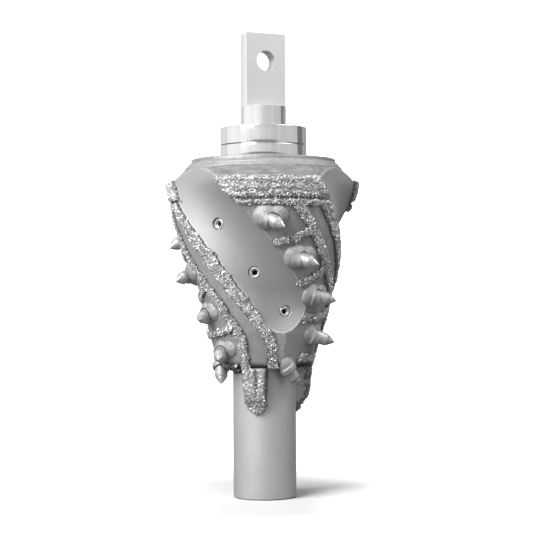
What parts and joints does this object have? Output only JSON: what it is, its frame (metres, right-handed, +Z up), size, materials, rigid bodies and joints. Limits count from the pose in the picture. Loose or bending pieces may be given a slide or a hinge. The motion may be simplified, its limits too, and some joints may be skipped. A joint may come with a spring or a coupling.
{
  "type": "button reamer",
  "caption": "Fluted back reamer for pulled bores: a cone with conical carbide buttons, crushed-carbide beads and water jets on a threaded stem, with a free-turning towing swivel in its crown.",
  "frame": {"origin": "centre of the socket's mouth at the lower end of the stem, on the tool's axis", "axes": "+Z runs up the tool's axis to the towing eye; -Y is the side that the picture shows; +X is to the right in it"},
  "size_m": [0.2474, 0.2455, 0.6013],
  "materials": {
    "carbide_grit": "crushed carbide grains in a steel bead, glittering",
    "sintered_carbide": "smooth sintered carbide, slightly blue",
    "weld_bead": "dressed and blasted weld metal",
    "forged_button": "blasted forged steel",
    "jet_insert": "bright ground rim round a dark opening",
    "seal_rubber": "black sealing rubber",
    "bearing_steel": "ground and polished",
    "turned_steel": "turned round, fine rings",
    "ground_steel": "satin milled and turned",
    "blasted_steel": "sand-blasted, even fine grain",
    "cast_steel": "machined and sand-blasted, satin"
  },
  "bodies": {
    "reamer": {"mandrel": "blasted_steel", "cone_body": "cast_steel", "crown_plate": "cast_steel", "crown_welds": "weld_bead", "lead_fin_a": "blasted_steel", "lead_fin_b": "blasted_steel", "lead_fin_c": "blasted_steel", "hardfacing_a": "carbide_grit", "hardfacing_b": "carbide_grit", "hardfacing_c": "carbide_grit", "button_welds_a": "weld_bead", "button_welds_b": "weld_bead", "button_welds_c": "weld_bead", "button_a1": "forged_button", "button_a2": "forged_button", "button_a3": "forged_button", "button_a4": "forged_button", "button_a5": "forged_button", "button_b1": "forged_button", "button_b2": "forged_button", "button_b3": "forged_button", "button_b4": "forged_button", "button_b5": "forged_button", "button_c1": "forged_button", "button_c2": "forged_button", "button_c3": "forged_button", "button_c4": "forged_button", "button_c5": "forged_button", "carbide_tip_a1": "sintered_carbide", "carbide_tip_a2": "sintered_carbide", "carbide_tip_a3": "sintered_carbide", "carbide_tip_a4": "sintered_carbide", "carbide_tip_a5": "sintered_carbide", "carbide_tip_b1": "sintered_carbide", "carbide_tip_b2": "sintered_carbide", "carbide_tip_b3": "sintered_carbide", "carbide_tip_b4": "sintered_carbide", "carbide_tip_b5": "sintered_carbide", "carbide_tip_c1": "sintered_carbide", "carbide_tip_c2": "sintered_carbide", "carbide_tip_c3": "sintered_carbide", "carbide_tip_c4": "sintered_carbide", "carbide_tip_c5": "sintered_carbide", "jets_a": "jet_insert", "jets_b": "jet_insert", "jets_c": "jet_insert", "swivel_housing": "turned_steel", "swivel_cap": "turned_steel", "shaft_seal": "seal_rubber", "cap_ring": "seal_rubber", "grease_plug": "turned_steel", "upper_cup": "bearing_steel", "lower_cup": "bearing_steel"},
    "swivel": {"swivel_shaft": "ground_steel", "upper_cone": "bearing_steel", "lower_cone": "bearing_steel", "lock_nut": "turned_steel"},
    "upper_cage": {"upper_rollers": "bearing_steel"},
    "lower_cage": {"lower_rollers": "bearing_steel"}
  },
  "joints": [
    {"name": "swivel_spin", "type": "hinge", "parent": "reamer", "child": "swivel", "pos_m": [0, 0, 0.425], "axis": [0, 0, 1], "continuous": true},
    {"name": "upper_cage_spin", "type": "hinge", "parent": "reamer", "child": "upper_cage", "pos_m": [0, 0, 0.4355], "axis": [0, 0, 1], "continuous": true},
    {"name": "lower_cage_spin", "type": "hinge", "parent": "reamer", "child": "lower_cage", "pos_m": [0, 0, 0.4145], "axis": [0, 0, 1], "continuous": true}
  ],
  "couplings": [
    {"joint": "upper_cage_spin", "follows": "swivel_spin", "ratio": 0.4407},
    {"joint": "lower_cage_spin", "follows": "swivel_spin", "ratio": 0.4407}
  ]
}
